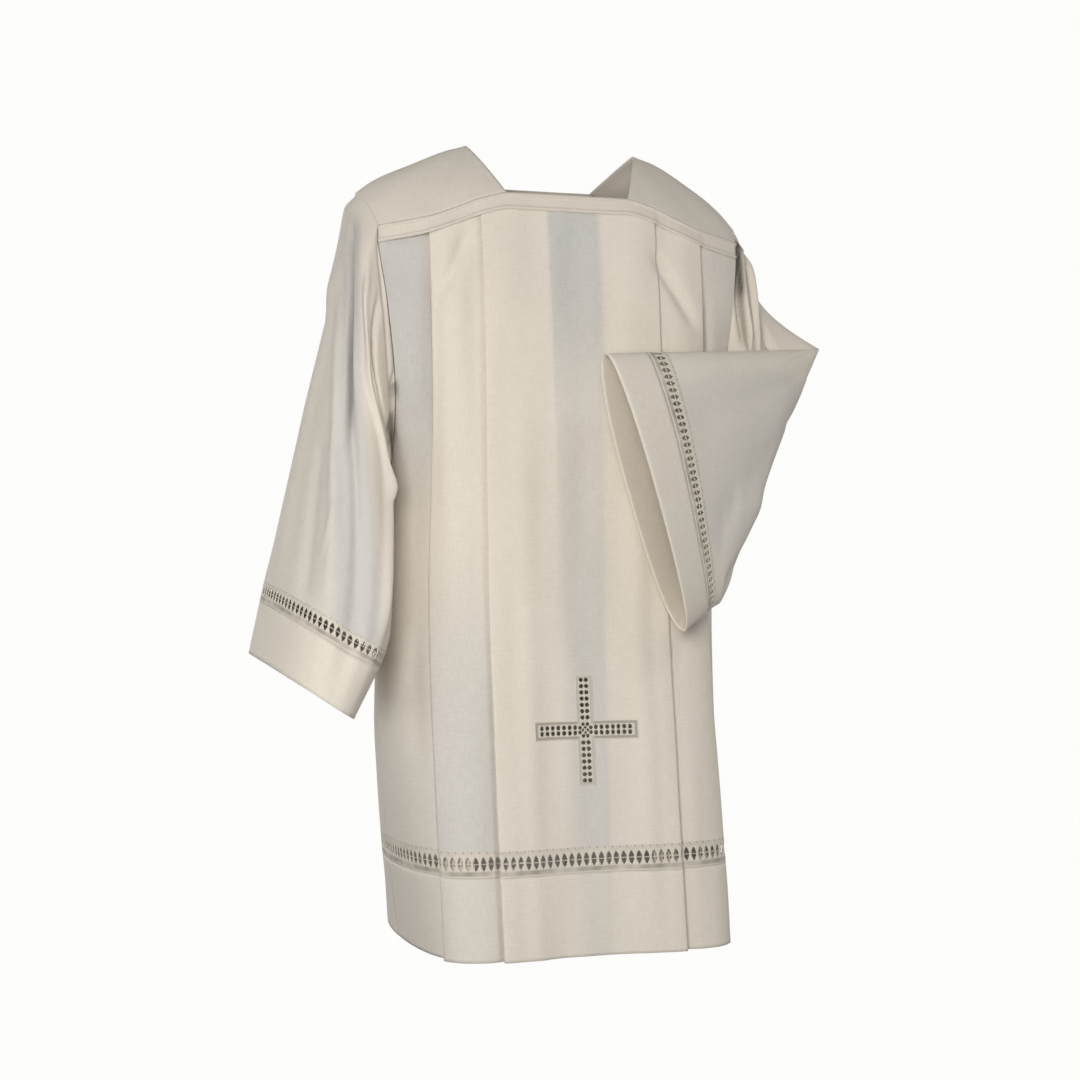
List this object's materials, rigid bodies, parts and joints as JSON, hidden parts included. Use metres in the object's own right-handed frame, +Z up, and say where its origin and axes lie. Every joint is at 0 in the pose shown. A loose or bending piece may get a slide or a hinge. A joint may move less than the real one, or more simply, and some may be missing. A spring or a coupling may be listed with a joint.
{
  "type": "surplice",
  "caption": "Square-necked pleated surplice in worn, hollow form, one arm hanging and one bent, with openwork ladders above hem and cuffs and a small cross.",
  "frame": {"origin": "midway between the two points where the neck opening meets the top of the wearer's shoulders", "axes": "+Z up, -Y to the wearer's front, +X to the wearer's left"},
  "size_m": [0.7074, 0.3859, 0.9552],
  "materials": {
    "cloth": "plain-woven light wool and polyester cloth, matt, off-white",
    "openwork": "drawn-thread openwork ladder with grey-white stitched margins"
  },
  "bodies": {
    "root": {"yoke_right": "cloth", "yoke_left": "cloth", "band_front": "cloth", "band_back": "cloth", "front_panel": "cloth", "back_panel": "cloth", "hem_front": "cloth", "hem_back": "cloth", "sleeve_right_fore": "cloth", "sleeve_right_rear": "cloth", "sleeve_left_upper_fore": "cloth", "sleeve_left_upper_rear": "cloth", "sleeve_left_forearm_fore": "cloth", "sleeve_left_forearm_rear": "cloth", "cuff_right": "cloth", "cuff_left": "cloth", "openwork_front": "openwork", "openwork_back": "openwork", "sleeve_openwork_right_fore": "openwork", "sleeve_openwork_right_rear": "openwork", "sleeve_openwork_left_fore": "openwork", "sleeve_openwork_left_rear": "openwork"}
  },
  "joints": []
}
